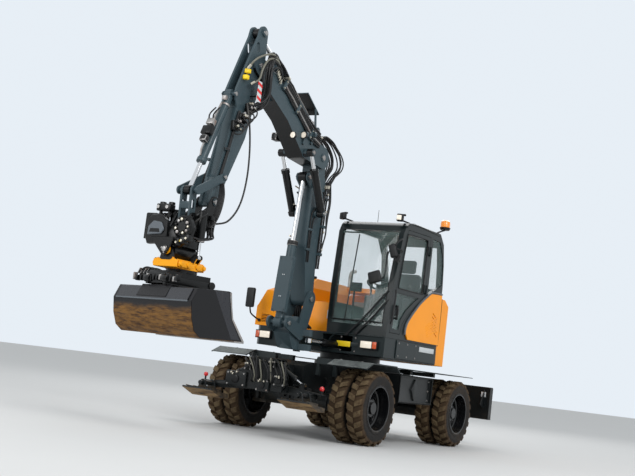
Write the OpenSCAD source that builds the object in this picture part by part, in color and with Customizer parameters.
// Wheeled excavator with twin tyres, a swing post, a two-piece boom,
// a tiltrotator and a wide grading bucket. Millimetres, +X forward, +Y to the
// machine's left, +Z up. The origin lies on the ground under the slewing axis.

/* [Wheels] */
// Outer diameter of a tyre over its lugs
tyre_d = 975; // [900:5:1050]
// Width of one tyre
tyre_w = 235; // [200:5:250]
// Distance between the middles of two twin tyres
twin_pitch = 275; // [262:1:300]
// Distance from the machine's middle to the middle of an outer tyre
outer_tyre_y = 1105; // [1090:5:1140]
// Diameter of the tyre's bead on the rim
bead_d = 584; // [540:2:600]
// Thickness of the rim's barrel
rim_wall = 12; // [8:1:18]
// Front axle ahead of the slewing axis
front_axle_x = 1254; // [1220:2:1290]
// Rear axle behind the slewing axis
rear_axle_x = 1306; // [1280:2:1360]
// Distance from the machine's middle to a kingpin
kingpin_y = 690; // [675:1:700]

/* [Undercarriage] */
// Half width of the frame's main box
frame_hw = 330; // [300:5:350]
// Height of the frame's underside
frame_z0 = 640; // [620:5:680]
// Height of the frame's top
frame_z1 = 985; // [960:5:1000]
// Front end of the frame
frame_x1 = 1780; // [1740:5:1800]
// Rear end of the frame
frame_x0 = 1600; // [1560:5:1640]
// Radius of the slewing ring
ring_r = 470; // [430:5:500]
// Height of the front fenders' flat top
fender_z = 1066; // [1055:1:1075]
// Thickness of the fender plate
fender_t = 10; // [6:1:14]
// Length of a side box between the wheels
side_box_len = 1050; // [900:10:1060]
// Outer face of the side boxes
side_box_y = 1145; // [1100:5:1160]

/* [Stabilisers and blade] */
// Distance from a leg's pivot to its pad's pin
leg_len = 993; // [940:1:1010]
// Length of a pad along the machine
pad_len = 390; // [340:10:410]
// Width of a pad across the machine
pad_w = 470; // [400:10:480]
// Width of the rear blade
blade_w = 2480; // [2300:10:2500]
// Height of the rear blade
blade_h = 510; // [440:10:540]
// Distance from the blade arms' pivot to the blade
blade_reach = 870; // [820:10:900]

/* [Upper body] */
// Underside of the platform
deck_z0 = 1160; // [1150:1:1180]
// Top of the platform's skirt
deck_z1 = 1430; // [1400:5:1440]
// Half width of the platform
deck_hw = 1080; // [1040:5:1090]
// Radius of the counterweight's tail
tail_r = 1385; // [1340:5:1420]
// Top of the counterweight
tail_z = 2130; // [2060:5:2160]
// Width of the cab
cab_w = 920; // [880:5:930]
// Height of the cab's roof
roof_z = 3050; // [2990:5:3080]
// Thickness of the cab's walls
cab_wall = 50; // [40:2:60]
// Thickness of the window glass
glass_t = 6; // [4:1:10]
// Gap around the door
door_gap = 6; // [5:1:10]

/* [Boom and arm] */
// Distance from the swing pin to the boom's foot pin, forward
foot_dx = 30; // [0:5:60]
// Height of the boom's foot pin
foot_z = 1820; // [1800:5:1850]
// Height of the knee pin
knee_z = 3740; // [3700:5:3780]
// Width of the lower boom's box
lower_w = 230; // [200:5:240]
// Width of the upper boom's box
upper_w = 260; // [250:5:280]
// Width of the arm
arm_w = 172; // [160:2:196]
// Radius of the main pins
pin_r = 34; // [28:1:40]
// Running gap around a pin
pin_gap = 0.3; // [0.2:0.1:0.5]
// Thickness of the fork cheeks
cheek_t = 30; // [24:1:32]

/* [Tiltrotator and bucket] */
// Height of the tilting axis
tilt_z = 2030; // [2020:5:2060]
// Place of the rotor's axis, forward
rotor_x = 4130; // [4100:5:4160]
// Turn of the rotor as it is parked
rotor_turn = -15; // [-40:1:40]
// Width of the bucket
bucket_w = 1500; // [1200:10:1600]
// Depth of the bucket from its back to its edge
bucket_d = 800; // [720:10:840]
// Thickness of the bucket's shell
shell_t = 14; // [10:1:20]

/* [Hidden] */
$fn = 64;

// Colours
slate = [0.20, 0.25, 0.28];
dark = [0.06, 0.08, 0.08];
orange = [0.95, 0.55, 0.05];
rubber = [0.20, 0.16, 0.12];
chrome = [0.75, 0.76, 0.78];
glass = [0.55, 0.65, 0.65, 0.35];

// Wheels
axle_z = tyre_d / 2;
bead_r = bead_d / 2;
fit = 0.3;
rim_w = 210;
rim_lip = 14;
hub_r = 105;
disc_t = 14;
hub_in = 70;

// Axles
beam_h = 150;
beam_w = 160;
tube_r = 110;
yoke_r = 62;
yoke_gap = 150;
yoke_t = 42;
king_r = 30;
spindle_r = 40;

// Stabilisers, legs crossing in the carrier
leg_t = 90;
leg_gap = 6;
plate_t = 20;
leg_pivot_y = -250;
leg_pivot_z = 640;
leg_tip_z = 560;
leg_slot = leg_t + 2 * leg_gap;
carrier_x = frame_x1 + 200;
leg_x_left = carrier_x + plate_t + leg_slot / 2;
leg_x_right = leg_x_left + leg_slot + plate_t;
carrier_x1 = leg_x_right + leg_slot / 2 + plate_t;
leg_tip_y = leg_pivot_y + sqrt(leg_len * leg_len - pow(leg_pivot_z - leg_tip_z, 2));
pad_x0 = carrier_x1 - 40;
pad_z = 385;
leg_base = [110, 905];
leg_lug = [530, leg_tip_z + 115];

// Blade
blade_pin = [-frame_x0 - 20, 600];
blade_z0 = 430;
blade_x = blade_pin[0] - blade_reach;
blade_arm_y = 280;
blade_base = [-frame_x0 - 60, 935];
blade_lug = [blade_x + 300, 740];

// Upper body
cab_y1 = deck_hw + 5;
cab_y0 = cab_y1 - cab_w;
cab_floor = deck_z1;
screen_z0 = 1570;
belt_z = 1620;
cowl_x = 1035;
cab_rear = -580;
tail_x = 585;
rear_pillar = -20;
a_pillar = 90;
cab_lean = 120;
function lean(z) = cab_lean * (z - cab_floor) / (roof_z - cab_floor);
cab_side = [
    [cab_rear, cab_floor], [cowl_x, cab_floor], [cowl_x - 10, belt_z],
    [cowl_x - 60, 2070], [830, 2870], [760, 2980], [690, roof_z - 20],
    [560, roof_z], [-330, roof_z], [-470, roof_z - 140], [cab_rear + 40, 2620], [cab_rear, 2300]
];
door_edge = [
    [640, cab_floor + 70], [940, cab_floor + 70], [935, belt_z], [885, 2060],
    [748, 2850], [690, roof_z - 110], [rear_pillar, roof_z - 95], [rear_pillar, 2060],
    [200, 1960], [450, 1790], [600, 1640]
];
right_edge = [
    [-500, 1860], [880, 1860], [745, 2850], [690, roof_z - 110], [-340, roof_z - 110], [-480, 2700], [-500, 2300]
];
quarter_edge = [
    [rear_pillar - 85, 2140], [rear_pillar - 85, roof_z - 110], [-350, roof_z - 120],
    [-455, 2780], [-520, 2600], [-545, 2330], [-480, 2290]
];
hood_nose = [
    [-590, deck_z1 + 20], [420, deck_z1 + 20], [508, 1560], [470, 1660], [350, 1785],
    [109, 1980], [-208, 2160], [-430, 2175], [-560, 2175]
];
nose_t = 20;
hinge = [rear_pillar + 8, cab_y1 + 16];
hinge_z = [2150, 2700];
hinge_h = 110;

// Boom pins, each as [forward, up]
swing_x = 1480;
foot = [swing_x + foot_dx, foot_z];
ram_foot = [1987, 1453];
ram_head = [foot[0] + 308, foot_z + 1607];
knee = [foot[0] + 90, knee_z];
knee_low = [foot[0] + 125, knee_z - 778];
knee_up = [knee[0] + 468, knee_z - 37];
arm_pin = [knee[0] + 1690, knee_z + 770];
arm_base = [knee[0] + 150, knee_z + 330];
arm_top = [arm_pin[0] - 40, arm_pin[1] + 435];
arm_tip = [arm_pin[0] + 540, arm_pin[1] - 1820];
tip_base = [arm_pin[0] + 378, arm_pin[1] - 460];
link_pin = [arm_tip[0] + 364, arm_tip[1] + 72];
rocker_pin = [arm_tip[0] - 90, arm_tip[1] + 320];
hitch_pin = [arm_tip[0] + 350, arm_tip[1] - 250];
knee_y = 228;

// Rams: base pin, tip pin, barrel length, barrel radius, rod radius, rod length, eye radius, eye width
B = 0; T = 1; BL = 2; BR = 3; RR = 4; RL = 5; ER = 6; EW = 7;
lift_ram = [ram_foot, ram_head, 1090, 62, 34, 1150, 70, 110];
knee_ram = [knee_low, knee_up, 625, 52, 26, 585, 52, 80];
arm_ram = [arm_base, arm_top, 1200, 58, 32, 1130, 62, 90];
tip_ram = [tip_base, link_pin, 1000, 50, 28, 960, 56, 80];
blade_ram = [blade_base, blade_lug, 470, 42, 24, 430, 42, 60];
leg_ram = [leg_base, leg_lug, 345, 34, 18, 416, 34, 56];
swing_ram = [[720, 420], [swing_x + 70, 215], 588, 45, 24, 570, 46, 60];
ram_wall = 10;
ram_play = 0.8;
gland = 50;

// Tiltrotator
head_x0 = 3990;
head_x1 = 4390;
axle_r = 42;
frame_y = 160;
tilt_ram_y = 205;
rod_lug_z = tilt_z - 40;
tilt_bar_z = tilt_z + 142;
tilt_bar_h = 350;
rotor_top = tilt_z - 95;
rotor_bot = 1835;
hitch_bot = 1650;

// Helpers

// A plate drawn as [x, z] and as thick as w across the machine
module slab(w, y = 0) {
    translate([0, y + w / 2, 0]) rotate([90, 0, 0]) linear_extrude(w) children();
}

// A pin or boss across the machine
module cross_pin(p, r, w, y = 0) {
    translate([p[0], y, p[1]]) rotate([90, 0, 0]) cylinder(r = r, h = w, center = true);
}

// Tangent bar between two circles, drawn flat
module bar(p, rp, q, rq) {
    d = norm(q - p);
    a = atan2(q[1] - p[1], q[0] - p[0]);
    b = acos((rp - rq) / d);
    translate(p) circle(rp);
    translate(q) circle(rq);
    polygon([for (k = [[p, rp, 1], [p, rp, -1], [q, rq, -1], [q, rq, 1]])
        k[0] + k[1] * [cos(a + k[2] * b), sin(a + k[2] * b)]]);
}

// A convex outline drawn in by d on each side
function edge_line(p, i, d) = let (
    a = p[i], b = p[(i + 1) % len(p)], u = (b - a) / norm(b - a), n = [-u[1], u[0]]
) [a + d * n, u];
function meet(l, m) = let (
    w = m[0] - l[0], c = l[1][0] * m[1][1] - l[1][1] * m[1][0]
) l[0] + l[1] * (w[0] * m[1][1] - w[1] * m[1][0]) / c;
function inset(p, d) = [for (i = [0 : len(p) - 1])
    meet(edge_line(p, (i + len(p) - 1) % len(p), d), edge_line(p, i, d))];

// Barrel of a ram along +X from its base pin
module barrel(ram, pin_len) {
    r = ram[BR];
    hole = ram[RR] + ram_play;
    rotate([90, 0, 0]) cylinder(r = ram[ER], h = ram[EW], center = true);
    rotate([90, 0, 0]) cylinder(r = pin_r * 0.8, h = pin_len, center = true);
    difference() {
        union() {
            translate([ram[ER] * 0.7, 0, 0]) rotate([0, 90, 0]) cylinder(r = r, h = ram[BL] - ram[ER] * 0.7);
            translate([ram[BL] - gland, 0, 0]) rotate([0, 90, 0]) cylinder(r = r + 7, h = gland);
        }
        translate([ram[ER] + 20, 0, 0]) rotate([0, 90, 0])
            cylinder(r = r - ram_wall, h = ram[BL] - gland - ram[ER] - 20);
        translate([ram[BL] - gland - 1, 0, 0]) rotate([0, 90, 0]) cylinder(r = hole, h = gland + 2);
    }
}

// Rod of a ram along +X, with its piston inside the barrel
module rod(ram, eye_w) {
    d = norm(ram[T] - ram[B]);
    translate([d - ram[RL], 0, 0]) rotate([0, 90, 0]) cylinder(r = ram[RR], h = ram[RL] - ram[ER] * 0.5);
    translate([d - ram[RL], 0, 0]) rotate([0, 90, 0]) cylinder(r = ram[BR] - ram_wall - ram_play, h = 40);
    translate([d, 0, 0]) rotate([90, 0, 0]) cylinder(r = ram[ER], h = eye_w, center = true);
}

function ram_angle(ram) = atan2(ram[T][1] - ram[B][1], ram[T][0] - ram[B][0]);

// Puts a ram's part in the plane of the boom, across the machine, or level
module in_xz(ram, y = 0) {
    translate([ram[B][0], y, ram[B][1]]) rotate([0, -ram_angle(ram), 0]) children();
}
module in_yz(ram, x) {
    translate([x, ram[B][0], ram[B][1]]) rotate([ram_angle(ram), 0, 0]) rotate([0, 0, 90]) children();
}
module in_xy(ram, z) {
    translate([ram[B][0], ram[B][1], z]) rotate([0, 0, ram_angle(ram)]) rotate([90, 0, 0]) children();
}

// Undercarriage

module chassis_frame() {
    color(dark) {
        difference() {
            union() {
                slab(2 * frame_hw) polygon([
                    [-frame_x0, frame_z0 + 60], [-frame_x0, frame_z1 - 70], [-frame_x0 + 240, frame_z1],
                    [frame_x1 - 220, frame_z1], [frame_x1, frame_z1 - 60], [frame_x1, frame_z0 + 30],
                    [frame_x1 - 320, frame_z0], [600, frame_z0], [480, frame_z0 - 110],
                    [-480, frame_z0 - 110], [-600, frame_z0], [-frame_x0 + 300, frame_z0]
                ]);
                translate([0, 0, frame_z1 - 40]) cylinder(r = ring_r + 40, h = 90);
                translate([0, 0, frame_z1 + 40]) cylinder(r = ring_r, h = 60);
            }
            translate([0, 0, frame_z1 - 60]) cylinder(r = 150, h = 200);
        }
        // Axle saddles
        for (x = [front_axle_x, -rear_axle_x]) for (s = [-1, 1]) difference() {
            translate([x - 130, s * 210 - 45, axle_z]) cube([260, 90, frame_z0 - axle_z + 5]);
            cross_pin([x, axle_z], tube_r, 900);
        }
        // Carrier of the stabilisers
        slab(360) polygon([
            [frame_x1 - 5, frame_z0 + 40], [carrier_x + 1, frame_z0 + 110],
            [carrier_x + 1, frame_z1 - 60], [frame_x1 - 5, frame_z1 - 60]
        ]);
        for (k = [0, 1, 2]) translate([carrier_x + k * (plate_t + leg_slot), 0, 0]) rotate([90, 0, 90])
            linear_extrude(plate_t) difference() {
                polygon([[-330, 560], [330, 560], [330, 760], [190, 970], [-190, 970], [-330, 760]]);
                for (s = [-1, 1]) {
                    translate([s * leg_pivot_y, leg_pivot_z]) circle(pin_r + pin_gap);
                    translate([s * leg_base[0], leg_base[1]]) circle(pin_r * 0.8 + pin_gap);
                }
            }
        translate([carrier_x, -190, 962]) cube([carrier_x1 - carrier_x, 380, 14]);
        // Ears of the blade's arms and of its rams
        for (s = [-1, 1]) {
            difference() {
                slab(40, s * (blade_arm_y - 60)) bar(blade_pin, 60, blade_pin + [140, 70], 80);
                cross_pin(blade_pin, pin_r + pin_gap, 60, s * (blade_arm_y - 60));
            }
            difference() {
                slab(30, s * (blade_arm_y - 62)) bar(blade_base, 48, blade_base + [150, -40], 60);
                cross_pin(blade_base, pin_r * 0.8 + pin_gap, 40, s * (blade_arm_y - 62));
            }
        }
    }
}

module axle_beam(reach) {
    translate([-beam_w / 2, -reach, -beam_h / 2]) cube([beam_w, 2 * reach, beam_h]);
    sphere(r = 150);
    rotate([90, 0, 0]) cylinder(r = tube_r, h = 2 * reach - 160, center = true);
}

module front_axle() {
    color(dark) translate([front_axle_x, 0, axle_z]) {
        axle_beam(kingpin_y - 120);
        for (s = [-1, 1]) {
            // Yoke with its kingpin's bores
            for (k = [-1, 1]) difference() {
                translate([0, 0, k * (yoke_gap / 2 + yoke_t / 2) - yoke_t / 2]) linear_extrude(yoke_t)
                    bar([0, s * (kingpin_y - 130)], 75, [0, s * kingpin_y], yoke_r);
                translate([0, s * kingpin_y, -200]) cylinder(r = king_r + pin_gap, h = 400);
            }
            translate([-75, s * (kingpin_y - 130) - 15, -yoke_gap / 2 - yoke_t]) cube([150, 30, yoke_gap + 2 * yoke_t]);
        }
        // Steering cylinder
        translate([-205, 0, 10]) rotate([90, 0, 0]) cylinder(r = 38, h = 620, center = true);
        translate([-205, -60, -30]) cube([140, 120, 60]);
    }
}

module rear_axle() {
    color(dark) translate([-rear_axle_x, 0, axle_z]) {
        axle_beam(kingpin_y - 20);
        for (s = [-1, 1]) translate([0, s * (kingpin_y + hub_in - 6), 0]) rotate([s * 90, 0, 0]) {
            cylinder(r = 95, h = 120);
            translate([0, 0, -60]) cylinder(r = spindle_r, h = 61);
        }
    }
}

module knuckle(s) {
    color(dark) translate([front_axle_x, s * kingpin_y, axle_z]) {
        cylinder(r = king_r, h = yoke_gap + 2 * yoke_t + 12, center = true);
        cylinder(r = yoke_r - 2, h = yoke_gap - 2, center = true);
        rotate([-s * 90, 0, 0]) cylinder(r = spindle_r + 18, h = hub_in - 6);
        rotate([-s * 90, 0, 0]) cylinder(r = spindle_r, h = hub_in + 54);
        translate([-150, -30 - s * 10, -22]) cube([120, 50, 44]);
    }
}
module knuckle_left() { knuckle(1); }
module knuckle_right() { knuckle(-1); }

// Tyre's section as [radius, side]
function tyre_section() = let (r = tyre_d / 2, h = tyre_w / 2) [
    [bead_r + fit, -h + 30], [bead_r + 45, -h + 6], [bead_r + 100, -h], [r - 40, -h + 8], [r - 8, -h + 26], [r, -h + 60],
    [r, h - 60], [r - 8, h - 26], [r - 40, h - 8], [bead_r + 100, h], [bead_r + 45, h - 6], [bead_r + fit, h - 30]
];

module tyre_pair(x, s) {
    color(rubber) for (k = [0, 1]) translate([x, s * (outer_tyre_y - k * twin_pitch), axle_z])
        rotate([90, 0, 0]) rotate_extrude() polygon(tyre_section());
}
module tyres_front_left() { tyre_pair(front_axle_x, 1); }
module tyres_front_right() { tyre_pair(front_axle_x, -1); }
module tyres_rear_left() { tyre_pair(-rear_axle_x, 1); }
module tyres_rear_right() { tyre_pair(-rear_axle_x, -1); }

// One rim: barrel with two lips and a dished disc
function rim_section(disc_y) = let (h = rim_w / 2) [
    [bead_r - rim_wall, -h - 8], [bead_r + rim_lip, -h - 8], [bead_r + rim_lip, -h], [bead_r, -h + 3],
    [bead_r, h - 3], [bead_r + rim_lip, h], [bead_r + rim_lip, h + 8], [bead_r - rim_wall, h + 8],
    [bead_r - rim_wall, disc_y + disc_t], [bead_r - 60, disc_y + disc_t], [hub_r + 40, disc_y + 2 * disc_t],
    [0, disc_y + 2 * disc_t], [0, disc_y + disc_t], [hub_r + 40, disc_y + disc_t], [bead_r - 60, disc_y],
    [bead_r - rim_wall, disc_y]
];

module rim_pair(x, s) {
    in_y = outer_tyre_y - twin_pitch;
    near = in_y - kingpin_y - hub_in;
    color(dark) translate([x, s * in_y, axle_z]) rotate([-s * 90, 0, 0]) {
        rotate_extrude() polygon(rim_section(rim_w / 2 - 60));
        translate([0, 0, twin_pitch]) rotate_extrude() polygon(rim_section(-rim_w / 2 + 10));
        // Hub drum, spacer ring and planetary cover
        difference() {
            translate([0, 0, -near]) cylinder(r = hub_r, h = near + rim_w / 2);
            translate([0, 0, -near - 1]) cylinder(r = spindle_r + pin_gap, h = 61);
        }
        translate([0, 0, rim_w / 2 - 50]) difference() {
            cylinder(r = 215, h = twin_pitch - rim_w + 70);
            translate([0, 0, -1]) cylinder(r = 195, h = twin_pitch - rim_w + 72);
        }
        translate([0, 0, rim_w / 2 - 20]) cylinder(r = hub_r + 10, h = twin_pitch - 80);
        translate([0, 0, rim_w / 2 + twin_pitch - 102]) cylinder(r = 78, h = 36);
    }
}
module rims_front_left() { rim_pair(front_axle_x, 1); }
module rims_front_right() { rim_pair(front_axle_x, -1); }
module rims_rear_left() { rim_pair(-rear_axle_x, 1); }
module rims_rear_right() { rim_pair(-rear_axle_x, -1); }

fender_in = 640;
fender_out = outer_tyre_y + tyre_w / 2 + 5;
module front_fenders() {
    color(slate) for (s = [-1, 1]) {
        // Flat top with both ends bent down
        slab(fender_out - fender_in, s * (fender_out + fender_in) / 2) polygon([
            [1715, 978], [1530, fender_z - fender_t], [880, fender_z - fender_t], [770, 978],
            [760, 984], [874, fender_z], [1534, fender_z], [1722, 986]
        ]);
        // Arms back to the frame
        for (x = [960, 1400]) translate([x, min(s * frame_hw, s * (fender_in + 60)), fender_z - 88])
            cube([70, fender_in + 60 - frame_hw, 89 - fender_t]);
        for (x = [960, 1400]) translate([x, min(s * frame_hw, s * (frame_hw + 40)), frame_z1 - 160])
            cube([70, 40, fender_z - frame_z1 + 82]);
        // Walkway towards the rear wheels
        translate([-1700, min(s * 700, s * fender_out), 1042]) cube([2380, fender_out - 700, fender_t]);
        for (x = [-1340, -560]) translate([x, min(s * (frame_hw - 80), s * 760), frame_z1])
            cube([70, 840 - frame_hw, 1043 - frame_z1]);
    }
}

module side_boxes() {
    x1 = 575;
    color(dark) for (s = [-1, 1]) {
        difference() {
            translate([x1 - side_box_len, min(s * 790, s * side_box_y), 583]) cube([side_box_len, side_box_y - 790, 385]);
            translate([x1 - side_box_len + 22, min(s * (side_box_y - 45), s * (side_box_y + 1)), 605])
                cube([side_box_len - 44, 46, 341]);
        }
        translate([x1 - side_box_len / 2, s * (side_box_y - 45), 775]) rotate([-s * 90, 0, 0])
            linear_extrude(22) polygon([[-110, 0], [0, -150], [110, 0], [0, 150]]);
        // Brackets to the frame
        for (x = [-330, 330]) translate([x - 40, min(s * frame_hw, s * 795), 640]) cube([80, 795 - frame_hw, 150]);
        translate([100, s * 560, 560]) rotate([0, 90, 0]) cylinder(r = 105, h = 300);
    }
}

// Stabilisers

module leg(s, x) {
    tip = [leg_tip_y, leg_tip_z];
    color(slate) {
        translate([x - leg_t / 2, 0, 0]) rotate([90, 0, 90]) linear_extrude(leg_t) {
            bar([s * leg_pivot_y, leg_pivot_z], 60, [s * tip[0], tip[1]], 46);
        }
        // Lugs of the ram, pivot pin and the pad's pin
        for (k = [-1, 1]) translate([x + k * (leg_t / 2 - 8) - 7, 0, 0]) rotate([90, 0, 90]) linear_extrude(14)
            bar([s * leg_lug[0], leg_lug[1]], 30, [s * leg_lug[0], leg_tip_z + 20], 50);
        translate([x, s * leg_pivot_y, leg_pivot_z]) rotate([0, 90, 0])
            cylinder(r = pin_r, h = leg_slot + 2 * plate_t, center = true);
        translate([x, s * tip[0], tip[1]]) rotate([0, 90, 0]) cylinder(r = 28, h = pad_x0 + pad_len - 60 - x);
    }
}
module leg_left() { leg(1, leg_x_left); }
module leg_right() { leg(-1, leg_x_right); }

module pad(s) {
    y = s * leg_tip_y;
    x1 = pad_x0 + pad_len;
    color(dark) {
        slab(pad_w, y) polygon([
            [pad_x0, pad_z], [pad_x0 + 150, pad_z], [x1, pad_z + 95], [x1 - 12, pad_z + 112],
            [pad_x0 + 140, pad_z + 70], [pad_x0, pad_z + 60]
        ]);
        for (x = [pad_x0 + 60, pad_x0 + 250]) difference() {
            translate([x, 0, 0]) rotate([90, 0, 90]) linear_extrude(24)
                bar([y, leg_tip_z], 48, [y, pad_z + 90], 70);
            translate([x - 1, y, leg_tip_z]) rotate([0, 90, 0]) cylinder(r = 28 + pin_gap, h = 26);
        }
    }
}
module pad_left() { pad(1); }
module pad_right() { pad(-1); }

// The same ram for the machine's right side
function mirror_ram(ram) = [
    [-ram[B][0], ram[B][1]], [-ram[T][0], ram[T][1]], ram[BL], ram[BR], ram[RR], ram[RL], ram[ER], ram[EW]
];
module leg_barrel_left() { color(dark) in_yz(leg_ram, leg_x_left) barrel(leg_ram, leg_slot + 2 * plate_t - 6); }
module leg_barrel_right() {
    color(dark) in_yz(mirror_ram(leg_ram), leg_x_right) barrel(leg_ram, leg_slot + 2 * plate_t - 6);
}
module leg_rod_left() { color(chrome) in_yz(leg_ram, leg_x_left) rod(leg_ram, leg_t - 44); }
module leg_rod_right() { color(chrome) in_yz(mirror_ram(leg_ram), leg_x_right) rod(leg_ram, leg_t - 44); }

// Blade

module dozer_blade() {
    color(dark) {
        // Curved shield, hollow towards the rear
        difference() {
            slab(blade_w) polygon([
                [blade_x + 60, blade_z0], [blade_x + 60, blade_z0 + blade_h], [blade_x - 70, blade_z0 + blade_h],
                [blade_x - 70, blade_z0]
            ]);
            translate([blade_x - 470, 0, blade_z0 + blade_h / 2 + 20]) rotate([90, 0, 0])
                cylinder(r = 490, h = blade_w + 2, center = true);
        }
        for (s = [-1, 1]) {
            slab(70, s * blade_arm_y) bar(blade_pin, 52, [blade_x + 40, blade_z0 + 170], 75);
            cross_pin(blade_pin, pin_r, 220, s * (blade_arm_y - 30));
            for (k = [-1, 1]) slab(16, s * blade_arm_y + k * 40)
                bar(blade_lug, 34, blade_lug + [-30, -120], 50);
        }
        translate([blade_x + 240, -blade_arm_y, blade_z0 + 160]) cube([60, 2 * blade_arm_y, 90]);
    }
}
module blade_barrels() {
    color(dark) for (s = [-1, 1]) in_xz(blade_ram, s * blade_arm_y) translate([0, -s * 20, 0]) {
        translate([0, s * 20, 0]) barrel(blade_ram, 60);
        rotate([90, 0, 0]) cylinder(r = pin_r * 0.8, h = 130, center = true);
    }
}
module blade_rods() {
    color(chrome) for (s = [-1, 1]) in_xz(blade_ram, s * blade_arm_y) rod(blade_ram, 54);
}

// Upper body

nose_w = 150;
lamp_x = 1010;
module platform() {
    color(dark) {
        translate([0, 0, frame_z1 + 100.5]) cylinder(r = ring_r - 30, h = deck_z0 - frame_z1 - 100);
        difference() {
            translate([0, 0, deck_z0]) linear_extrude(deck_z1 - deck_z0) polygon([
                [-tail_x, -deck_hw], [800, -deck_hw], [940, -deck_hw + 55], [lamp_x, -deck_hw + 130],
                [lamp_x, -640], [1030, -420], [1060, -nose_w - 40], [1060, nose_w + 60], [cowl_x, 600],
                [cowl_x, deck_hw], [-tail_x, deck_hw]
            ]);
            // Room for the swing ram behind an opening in the front skirt
            translate([600, 330, deck_z0 + 30]) cube([600, 260, deck_z1 - deck_z0 - 60]);
            translate([860, 130, deck_z0 + 30]) cube([400, 330, deck_z1 - deck_z0 - 60]);
            translate([swing_ram[B][0], swing_ram[B][1], deck_z0 - 1]) cylinder(r = pin_r * 0.8 + pin_gap, h = 400);
        }
        // Nose that holds the swing pin
        difference() {
            translate([0, 0, 1222]) linear_extrude(90) bar([900, 0], nose_w, [swing_x, 0], 100);
            translate([swing_x, 0, 1200]) cylinder(r = 48 + pin_gap, h = 140);
        }
    }
}

// Space across the cab from y0 to y1, whose right side leans out with height
module lean_box(y0, y1, z0, z1, x0, x1) {
    translate([x0, 0, 0]) rotate([90, 0, 90]) linear_extrude(x1 - x0)
        polygon([[y0 - lean(z0), z0], [y1, z0], [y1, z1], [y0 - lean(z1), z1]]);
}

// The cab's outline drawn in by d
module cab_body(d) {
    intersection() {
        slab(2 * (cab_y1 + cab_lean)) polygon(inset(cab_side, d));
        lean_box(cab_y0 + d, cab_y1 - d, cab_floor - 1, roof_z + 1, -3000, 3000);
    }
}

// Room cut for the windscreen and for the rear window
module screen_box() {
    lean_box(cab_y0 + a_pillar - 25, cab_y1 - a_pillar + 20, screen_z0, roof_z - 150, 600, 1300);
}
module rear_box() {
    lean_box(cab_y0 + a_pillar, cab_y1 - a_pillar, 2260, roof_z - 190, cab_rear - 100, cab_rear + 160);
}

module cab_frame() {
    color(dark) difference() {
        cab_body(0);
        cab_body(cab_wall);
        // Door opening and quarter window on the left, long window on the right
        slab(cab_wall * 2 + 2, cab_y1) polygon(door_edge);
        slab(cab_wall * 2 + 2, cab_y1) polygon(quarter_edge);
        slab(400, cab_y0) polygon(right_edge);
        // Windscreen, roof window and rear window
        screen_box();
        translate([180, cab_y0 + 140, roof_z - 100]) cube([380, cab_w - 300, 200]);
        rear_box();
    }
    // Hinge brackets and pins of the door
    color(dark) for (z = hinge_z) {
        translate([hinge[0] - 75, cab_y1 - 1, z - 22]) cube([67, 12, 20]);
        translate([hinge[0] - 20, cab_y1 + 6, z - 22]) cube([20, hinge[1] - cab_y1, 20]);
        translate([hinge[0], hinge[1], z - 22]) cylinder(r = 12, h = 20);
        translate([hinge[0], hinge[1], z - 4]) cylinder(r = 7, h = hinge_h);
    }
}

module cab_glass() {
    color(glass) {
        // Front, rear and right panes follow the cab's outline
        intersection() {
            difference() {
                cab_body(16);
                cab_body(16 + glass_t);
            }
            union() {
                screen_box();
                rear_box();
                slab(400, cab_y0) polygon(right_edge);
            }
        }
        slab(glass_t, cab_y1 - 14) polygon(quarter_edge);
        translate([180, cab_y0 + 140, roof_z - 20]) cube([380, cab_w - 300, glass_t]);
    }
}

module cab_interior() {
    yc = (cab_y0 + cab_y1) / 2;
    z = cab_floor + cab_wall;
    color(dark) {
        // Seat on its plinth
        translate([-330, yc - 230, z]) cube([500, 460, 260]);
        translate([-300, yc - 240, z + 260]) cube([520, 480, 120]);
        slab(470, yc) polygon([[-300, z + 340], [-180, z + 340], [-260, z + 980], [-360, z + 960]]);
        slab(260, yc) polygon([[-290, z + 960], [-240, z + 970], [-270, z + 1160], [-330, z + 1150]]);
        // Arm consoles
        for (s = [-1, 1]) translate([-220, yc + s * 310 - 60, z]) cube([480, 120, 560]);
        // Steering column and wheel
        slab(110, yc) bar([620, z + 50], 50, [520, z + 640], 35);
        translate([505, yc, z + 690]) rotate([0, -22, 0]) rotate_extrude() translate([175, 0]) circle(14);
        translate([512, yc, z + 672]) rotate([0, -22, 0]) translate([-8, -175, -8]) cube([16, 350, 20]);
        // Monitor on the right pillar
        translate([640, cab_y0 + 90, z + 560]) cube([30, 170, 130]);
        translate([650, cab_y0 + 150, z]) cube([24, 24, 570]);
    }
}

module engine_block() {
    color(slate) translate([-1010, -430, deck_z1]) cube([370, 900, 560]);
}

module tail_plan(r) {
    difference() {
        intersection() {
            circle(r);
            translate([-r, -deck_hw]) square([r - tail_x, 2 * deck_hw]);
        }
        children();
    }
}

module counterweight() {
    color(orange) difference() {
        translate([0, 0, deck_z0 - 5]) linear_extrude(tail_z - deck_z0 + 5) tail_plan(tail_r);
        // Engine room
        translate([-1080, -deck_hw + 90, deck_z1]) cube([496, 2 * deck_hw - 180, tail_z]);
        // Sloped top edge
        translate([0, 0, tail_z - 90]) difference() {
            cylinder(r = tail_r + 60, h = 200);
            translate([0, 0, -1]) cylinder(r1 = tail_r + 1, r2 = tail_r - 130, h = 140);
            translate([-600, -2000, -1]) cube([2000, 4000, 300]);
        }
    }
}

module rear_hood() {
    lid = 70;
    color(orange) {
        // Lid over the engine
        translate([0, 0, tail_z]) linear_extrude(lid) difference() {
            tail_plan(tail_r - 150) translate([-3000, -3000]) square([0.1, 0.1]);
            translate([-620, cab_y0 - 20]) square([200, cab_w + 200]);
        }
        // Curved side panel over the cab's rear quarter
        slab(nose_t, cab_y1 + nose_t / 2) difference() {
            polygon(hood_nose);
            for (k = [0 : 4]) translate([-500 + k * 12, 1560 + k * 62]) rotate(28) square([260 - k * 22, 14]);
        }
    }
}

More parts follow.
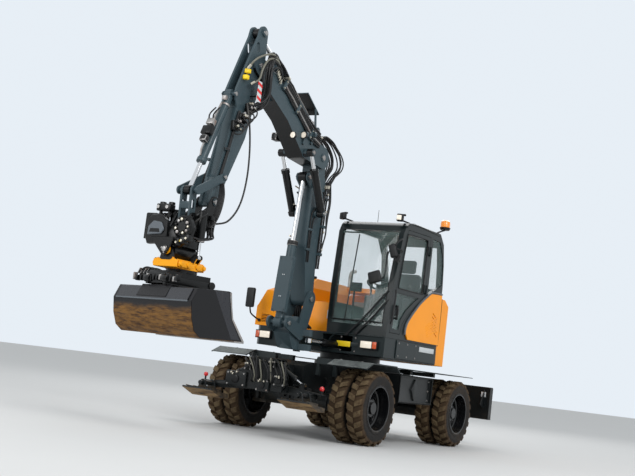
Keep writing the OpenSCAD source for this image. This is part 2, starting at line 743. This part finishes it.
cover_x = 1000;
cover_z = 2215;
module right_cover() {
    color(orange) difference() {
        // Orange box on the right with sloped shoulders
        rotate([90, 0, 90]) translate([0, 0, -560]) linear_extrude(cover_x + 560) polygon([
            [-deck_hw + 20, deck_z1], [-450, deck_z1], [-450, 2060], [-520, cover_z], [-700, cover_z],
            [-905, 1967], [-deck_hw + 48, 1741], [-deck_hw + 20, 1700]
        ]);
        // Sloped front and a recess for the grille
        translate([0, -1500, 0]) rotate([90, 0, 0]) mirror([0, 0, 1]) linear_extrude(1500)
            polygon([[cover_x + 1, 1940], [cover_x + 1, 3000], [300, 3000], [300, cover_z + 1]]);
        translate([cover_x - 20, -960, 1480]) cube([40, 150, 110]);
    }
    color(orange) for (k = [0 : 4]) translate([cover_x - 20, -960, 1488 + k * 20]) cube([16, 150, 8]);
    // Dark deck between the cover and the cab
    color(dark) translate([-560, -450, deck_z1]) cube([1380, cab_y0 + 410, 420]);
}

module upper_fittings() {
    // Lamp units on the front skirt, each white with an orange end
    for (k = [[1, cowl_x], [-1, lamp_x]]) {
        translate([k[1], k[0] * 830 - 90, 1255]) color("white") cube([60, 180, 100]);
        translate([k[1], k[0] * 954 - 34, 1255]) color("orangered") cube([46, 68, 100]);
    }
    // Right mirror on its stalk
    color(dark) {
        translate([1250, -1040, 1650]) cube([50, 95, 290]);
        slab(22, -990) bar([cover_x + 11, 1500], 11, [1240, 1580], 11);
        slab(22, -990) bar([1240, 1580], 11, [1275, 1660], 11);
    }
    // Work lamps on arms over the roof's front corners
    for (y = [cab_y0 - 88, cab_y1 - 101]) {
        color(dark) slab(30, y) bar([530, roof_z + 10], 10, [790, roof_z + 10], 10);
        color("white") translate([780, y, roof_z]) rotate([0, 90, 0]) cylinder(r = 46, h = 60);
    }
    // Beacon on its arm at the roof's rear left corner
    color(dark) {
        translate([-320, cab_y1 - 90, roof_z]) cube([70, 70, 8]);
        slab(24, cab_y1 - 45) bar([-300, roof_z + 14], 12, [-530, roof_z + 90], 12);
    }
    color("orange") translate([-540, cab_y1 - 45, roof_z + 95]) cylinder(r = 57, h = 125);
    // Aerial
    color(dark) translate([80, cab_y0 + 80, roof_z]) cylinder(r = 6, h = 260, $fn = 16);
}

door_in = inset(door_edge, door_gap);
// Window openings of the door, one above the other
door_panes = [
    [[70, 2120], [820, 2120], [700, roof_z - 175], [70, roof_z - 160]],
    [[690, cab_floor + 130], [875, cab_floor + 130], [870, belt_z], [835, 2050], [170, 2050], [300, 1985],
        [520, 1840], [660, 1700]]
];
module cab_door() {
    color(dark) {
        difference() {
            slab(cab_wall - 10, cab_y1 - cab_wall / 2 + 5) polygon(door_in);
            slab(cab_wall + 10, cab_y1 - cab_wall / 2) for (p = door_panes) polygon(p);
        }
        // Hinge barrels and handle
        for (z = hinge_z) difference() {
            union() {
                translate([hinge[0], hinge[1], z]) cylinder(r = 14, h = hinge_h);
                translate([hinge[0], cab_y1 - 1, z]) cube([60, 13, hinge_h]);
            }
            translate([hinge[0], hinge[1], z - 1]) cylinder(r = 7 + pin_gap, h = hinge_h + 2);
        }
        for (z = [1700, 1860]) translate([850, cab_y1 - 2, z]) rotate([-90, 0, 0]) cylinder(r = 9, h = 44);
        translate([850, cab_y1 + 40, 1690]) cylinder(r = 10, h = 190);
    }
}
module door_glass() {
    color(glass) slab(glass_t, cab_y1 - 18) for (p = door_panes) polygon(p);
}

// Swing post, rams and booms

post_w = lower_w + 20;
module swing_post() {
    color(slate) {
        // Fork around the nose, with the swing pin
        for (z = [1125, 1320]) translate([0, 0, z]) linear_extrude(84) {
            bar([swing_x, 0], 105, [swing_x + 210, 0], 125);
            // Lug of the swing ram
            bar([swing_x + 110, 60], 70, swing_ram[T], 46);
        }
        translate([swing_x, 0, 1105]) cylinder(r = 48, h = 318);
        slab(240) polygon([
            [swing_x + 150, 1126], [swing_x + 300, 1130], [swing_x + 430, 1330], [swing_x + 400, 1370],
            [swing_x + 240, 1560], [swing_x + 150, 1500]
        ]);
        for (s = [-1, 1]) difference() {
            slab(cheek_t, s * (post_w / 2 + cheek_t / 2)) {
                bar(foot, 105, [swing_x + 190, 1350], 95);
                bar([swing_x + 190, 1350], 95, ram_foot, 78);
                bar(foot, 105, [swing_x + 130, 1360], 60);
            }
            cross_pin(foot, pin_r + pin_gap, 100, s * (post_w / 2 + 10));
            cross_pin(ram_foot, pin_r * 0.8 + pin_gap, 100, s * (post_w / 2 + 10));
        }
        slab(post_w) bar([swing_x + 190, 1350], 90, [swing_x + 260, 1380], 80);
    }
}
module swing_barrel() { color(dark) in_xy(swing_ram, 1264) barrel(swing_ram, 240); }
module swing_rod() { color(chrome) in_xy(swing_ram, 1264) rod(swing_ram, 56); }

lower_mid = [foot + [100, 680], foot + [80, 1230]];
module lower_boom_2d() {
    bar(foot, 100, lower_mid[0], 148);
    bar(lower_mid[0], 148, lower_mid[1], 150);
    bar(lower_mid[1], 150, knee - [10, 330], 140);
}
module lower_boom() {
    color(slate) {
        difference() {
            union() {
                slab(lower_w) lower_boom_2d();
                slab(upper_w - 2 * cheek_t - 10) bar(knee - [10, 330], 140, knee, 135);
            }
            // Room for the lift rod's eye between its ears
            slab(lift_ram[EW] + 10) translate(ram_head) circle(lift_ram[ER] + 60);
        }
        cross_pin(foot, pin_r, post_w + 2 * cheek_t + 12);
        cross_pin(knee, pin_r, upper_w + 12);
        // Ears for the lift ram's rod
        for (s = [-1, 1]) slab(24, s * 78) bar(ram_head, 60, ram_head + [-160, -60], 110);
        // Pins of the knee rams on both sides
        slab(2 * (knee_y - knee_ram[BR]) - 12) bar(knee_low, 55, knee_low + [-40, 40], 60);
        cross_pin(knee_low, pin_r * 0.8, 2 * knee_y + 100);
    }
}

module lift_barrel() {
    color(slate) in_xz(lift_ram) {
        barrel(lift_ram, post_w + 2 * cheek_t);
        // Guard plate in front of the barrel
        translate([130, -105, -84]) cube([740, 210, 12]);
        for (s = [-1, 1]) translate([130, s * 99 - 6, -80]) cube([740, 12, 60]);
        for (x = [220, 780]) translate([x, -95, -76]) cube([40, 190, 18]);
    }
}
module lift_rod() { color(chrome) in_xz(lift_ram) rod(lift_ram, 110); }

knee_open = knee_ram[EW];
module knee_barrels() {
    color(dark) for (s = [-1, 1]) in_xz(knee_ram, s * knee_y) difference() {
        barrel(knee_ram, knee_open);
        rotate([90, 0, 0]) cylinder(r = pin_r * 0.8 + pin_gap, h = 200, center = true);
    }
}
module knee_rods() { color(chrome) for (s = [-1, 1]) in_xz(knee_ram, s * knee_y) rod(knee_ram, knee_open); }

upper_mid = [knee + [420, 50], knee + [870, 410]];
arm_ear_y = arm_ram[BR] + 20;
module upper_boom_2d() {
    bar(knee, 148, upper_mid[0], 165);
    bar(upper_mid[0], 165, upper_mid[1], 165);
    bar(upper_mid[1], 165, arm_pin, 118);
    bar(knee_up, 72, upper_mid[0], 165);
}
module upper_boom() {
    color(slate) {
        difference() {
            slab(upper_w) upper_boom_2d();
            // Fork at the knee and fork at the arm
            slab(upper_w - 2 * cheek_t) translate(knee) circle(205);
            slab(upper_w - 2 * cheek_t) bar(knee, 205, knee - [60, 500], 205);
            slab(arm_w + 10) bar(arm_pin, 330, arm_pin + [-190, -260], 220);
            cross_pin(knee, pin_r + pin_gap, 400);
            cross_pin(arm_pin, pin_r + pin_gap, 400);
        }
        // Bosses of the knee rams' rods
        cross_pin(knee_up, 55, 2 * knee_y - knee_open - 12);
        // Ears of the arm ram
        for (s = [-1, 1]) difference() {
            slab(24, s * arm_ear_y) bar(arm_base, 56, knee + [330, 130], 110);
            cross_pin(arm_base, pin_r * 0.8 + pin_gap, 40, s * arm_ear_y);
        }
        // Guard plate over the arm ram's foot, on two legs
        slab(170) polygon([
            arm_base + [20, 222], arm_base + [350, 432], arm_base + [342, 446], arm_base + [12, 236]
        ]);
        for (s = [-1, 1]) slab(14, s * (arm_ear_y + 2)) bar(arm_base + [60, 20], 20, arm_base + [110, 280], 14);
        // Work lamps
        for (s = [-1, 1]) for (p = [[330, 235], [525, 190]]) {
            translate([knee[0] + p[0], s * (upper_w / 2 + 34), knee_z + p[1]]) rotate([0, 90, 0])
                cylinder(r = 38, h = 50);
            slab(30, s * (upper_w / 2 + 8)) bar(knee + p + [10, 0], 12, knee + p + [30, -120], 20);
        }
    }
}
module arm_barrel() { color(slate) in_xz(arm_ram) barrel(arm_ram, 2 * arm_ear_y + 24); }
module arm_rod() { color(chrome) in_xz(arm_ram) rod(arm_ram, 100); }

arm_mid = arm_pin + [230, -890];
tip_r = 60;
// Direction of the bucket ram with the bucket curled in
ram_in = [0.172, -0.985];
module arm_2d() {
    difference() {
        union() {
            bar(arm_top, 85, arm_pin, 138);
            bar(arm_pin, 138, arm_mid, 160);
            bar(arm_mid, 160, arm_tip, tip_r);
            polygon([
                arm_top + [66, 20], arm_pin + [385, -420], arm_pin + [365, -520], arm_pin + [300, -640],
                arm_pin + [0, -300], arm_pin + [-60, 60]
            ]);
        }
        // Oval window
        bar(arm_pin + [30, 190], 30, arm_pin + [50, 260], 30);
    }
}
module arm() {
    color(slate) {
        difference() {
            slab(arm_w) arm_2d();
            // Channel between the plates for the two rams' ends
            slab(arm_w - 60) bar(arm_top, 150, arm_top + [-160, -20], 150);
            slab(arm_w - 60) bar(arm_top + [60, 0], 70, tip_base, 105);
            slab(arm_w - 60) bar(tip_base, 105, tip_base + [160, -420], 105);
            slab(2 * tip_ram[BR] + 26) bar(tip_base, 64, tip_base + (tip_ram[BL] + 10) * ram_in, 64);
            slab(2 * tip_ram[RR] + 30) bar(tip_base, 40, tip_base + 1560 * ram_in, 40);
            cross_pin(tip_base, pin_r * 0.8 + pin_gap, 400);
        }
        cross_pin(arm_pin, pin_r, upper_w + 12);
        for (s = [-1, 1]) cross_pin(arm_top, 46, 18, s * (arm_w / 2 + 9));
        cross_pin(arm_tip, pin_r, 2 * head_out);
        cross_pin(rocker_pin, pin_r * 0.8, 2 * (head_out + rocker_t + 8));
    }
}
module bucket_barrel() { color(slate) in_xz(tip_ram) barrel(tip_ram, arm_w); }
module bucket_rod() { color(chrome) in_xz(tip_ram) rod(tip_ram, 74); }

head_gap = 6;
head_t = 24;
head_out = arm_w / 2 + head_gap + head_t;
rocker_t = 22;
rocker_y = head_out + 8 + rocker_t / 2;
module rocker() {
    color(dark) {
        for (s = [-1, 1]) difference() {
            slab(rocker_t, s * rocker_y) bar(rocker_pin, 50, link_pin, 50);
            cross_pin(rocker_pin, pin_r * 0.8 + pin_gap, 60, s * rocker_y);
        }
        // Pin stubs outside the rod's eye
        for (s = [-1, 1]) cross_pin(link_pin, pin_r * 0.8, rocker_y - 42, s * (rocker_y + 42) / 2);
    }
}
module h_link() {
    color(dark) difference() {
        for (s = [-1, 1]) slab(26, s * 68) bar(link_pin, 50, hitch_pin, 50);
        cross_pin(link_pin, pin_r * 0.8 + pin_gap, 300);
        cross_pin(hitch_pin, pin_r * 0.8 + pin_gap, 300);
        slab(300) bar(link_pin + [-2, -130], 24, link_pin + [-7, -200], 24);
    }
    color(dark) slab(112) bar(link_pin + [30, -150], 14, link_pin + [24, -210], 14);
}

// Tiltrotator and bucket

module tilt_head() {
    w_in = arm_w + 2 * head_gap;
    low = tilt_z + 150;
    color(dark) {
        for (s = [-1, 1]) difference() {
            slab(head_t, s * (w_in + head_t) / 2) {
                bar(arm_tip, 68, [head_x0 + 80, low], 70);
                bar(hitch_pin, 62, [head_x1 - 80, low], 70);
                bar([head_x0 + 80, low], 70, [head_x1 - 80, low], 70);
                polygon([arm_tip, hitch_pin, [head_x1 - 60, low], [head_x0 + 60, low]]);
            }
            cross_pin(arm_tip, pin_r + pin_gap, 60, s * (w_in + head_t) / 2);
        }
        // Caps outside the hitch pin's ears
        for (s = [-1, 1]) cross_pin(hitch_pin, pin_r * 0.8, 34, s * (w_in / 2 + 18));
        // Base block, the tilt axle's barrel and the round drive at its front
        difference() {
            union() {
                translate([head_x0, -w_in / 2 - 24, tilt_z + 60]) cube([head_x1 - head_x0, w_in + 48, 110]);
                translate([head_x0, 0, tilt_z]) rotate([0, 90, 0]) cylinder(r = 82, h = head_x1 - head_x0);
                translate([head_x1 - 100, 0, tilt_z + 150]) rotate([0, 90, 0]) cylinder(r = 130, h = 100);
            }
            translate([head_x0 - 1, 0, tilt_z]) rotate([0, 90, 0])
                cylinder(r = axle_r + pin_gap, h = head_x1 - head_x0 + 2);
        }
        // Valve housing on the right side
        translate([rotor_x + 70, -300, tilt_z + 170]) cube([60, 200, 60]);
        translate([rotor_x + 20, -400, tilt_z + 120]) cube([250, 138, 290]);
        // Side arms and the barrels of the tilt rams
        for (s = [-1, 1]) {
            translate([rotor_x - 45, s > 0 ? 100 : -tilt_ram_y + 44, tilt_z + 190]) cube([90, tilt_ram_y - 144, 70]);
            translate([rotor_x, s * tilt_ram_y, 0]) difference() {
                translate([0, 0, tilt_bar_z]) cylinder(r = 50, h = tilt_bar_h);
                translate([0, 0, tilt_bar_z - 1]) cylinder(r = 20 + ram_play, h = 60);
                translate([0, 0, tilt_bar_z + 40]) cylinder(r = 40, h = tilt_bar_h - 55);
            }
        }
    }
}
module tilt_rod(s) {
    piston_z = tilt_bar_z + 40 + (tilt_bar_h - 55) / 2 - 12;
    color(chrome) translate([rotor_x, s * tilt_ram_y, 0]) {
        translate([0, 0, rod_lug_z + 20]) cylinder(r = 20, h = piston_z - rod_lug_z - 19);
        translate([0, 0, piston_z]) cylinder(r = 40 - ram_play, h = 24);
        translate([0, 0, rod_lug_z]) rotate([0, 90, 0]) cylinder(r = 28, h = 50, center = true);
    }
}
module tilt_rod_left() { tilt_rod(1); }
module tilt_rod_right() { tilt_rod(-1); }

module tilt_frame() {
    color(orange) {
        // Lugs at both ends of the tilt axle, and the axle
        for (x = [head_x0 - 46, head_x1 + 6]) translate([x, 0, 0]) rotate([90, 0, 90]) linear_extrude(40)
            bar([0, tilt_z], 66, [0, rotor_bot + 97], 90);
        translate([head_x0 - 40, 0, tilt_z]) rotate([0, 90, 0]) cylinder(r = axle_r, h = head_x1 - head_x0 + 80);
        // Rotor housing
        translate([head_x0 - 46, -frame_y, rotor_bot + 5])
            cube([head_x1 - head_x0 + 92, 2 * frame_y, rotor_top - rotor_bot - 5]);
        translate([rotor_x, 0, rotor_bot]) cylinder(r = 190, h = rotor_top - rotor_bot - 12);
        // Lugs of the tilt rods
        for (s = [-1, 1]) for (k = [-1, 1]) translate([rotor_x + k * 42 - 9, 0, 0]) rotate([90, 0, 90])
            linear_extrude(18) bar([s * tilt_ram_y, rod_lug_z], 34, [s * 120, rotor_top - 50], 50);
    }
}

module turned() {
    translate([rotor_x, 0, 0]) rotate([0, 0, rotor_turn]) children();
}
module rotor_hitch() {
    color(dark) turned() {
        translate([0, 0, rotor_bot - 40]) cylinder(r = 180, h = 39);
        translate([-300, -170, hitch_bot]) cube([620, 340, rotor_bot - 40 - hitch_bot]);
        for (s = [-1, 1]) translate([-310, s * 165 - 22, hitch_bot - 12]) cube([650, 44, 90]);
        // Coupler block on the right side
        translate([-40, -400, hitch_bot + 40]) cube([330, 231, 90]);
    }
}

// Bucket's section as [depth from the back face, height]
front_d = 370;
function bucket_section() = [
    [0, 1465], [70, 1615], [500, 1635], [540, 1625], [bucket_d - 230, 1470], [bucket_d - 195, 1340],
    [bucket_d, 1105], [170, 1085], [80, 1150], [25, 1290]
];
function bucket_inner() = [
    [shell_t + 6, 1462], [78, 1598], [500 + 400, 1632], [bucket_d + 300, 1300],
    [bucket_d + 6, 1122], [178, 1085 + shell_t + 1], [94, 1158], [40, 1294]
];
module bucket() {
    color(dark) turned() translate([front_d, 0, 0]) mirror([1, 0, 0]) {
        difference() {
            slab(bucket_w) polygon(bucket_section());
            slab(bucket_w - 2 * shell_t) polygon(bucket_inner());
        }
        // Hitch ears on the bucket's top
        for (s = [-1, 1]) slab(30, s * 140) polygon([
            [80, 1600], [640, 1600], [640, 1618], [620, hitch_bot - 12], [100, hitch_bot - 12]
        ]);
        slab(bucket_w - 4) polygon([[60, 1596], [500, 1612], [500, 1630], [68, 1613]]);
        slab(560) polygon([[-8, 1500], [0, 1462], [72, 1616], [60, 1632]]);
    }
}

chassis_frame();
front_axle();
rear_axle();
front_fenders();
side_boxes();
knuckle_left();
knuckle_right();
tyres_front_left();
tyres_front_right();
tyres_rear_left();
tyres_rear_right();
rims_front_left();
rims_front_right();
rims_rear_left();
rims_rear_right();
leg_left();
leg_right();
pad_left();
pad_right();
leg_barrel_left();
leg_barrel_right();
leg_rod_left();
leg_rod_right();
dozer_blade();
blade_barrels();
blade_rods();
platform();
cab_frame();
cab_glass();
cab_interior();
engine_block();
rear_hood();
counterweight();
right_cover();
upper_fittings();
cab_door();
door_glass();
swing_post();
swing_barrel();
swing_rod();
lower_boom();
lift_barrel();
lift_rod();
knee_barrels();
knee_rods();
upper_boom();
arm_barrel();
arm_rod();
arm();
bucket_barrel();
bucket_rod();
rocker();
h_link();
tilt_head();
tilt_rod_left();
tilt_rod_right();
tilt_frame();
rotor_hitch();
bucket();
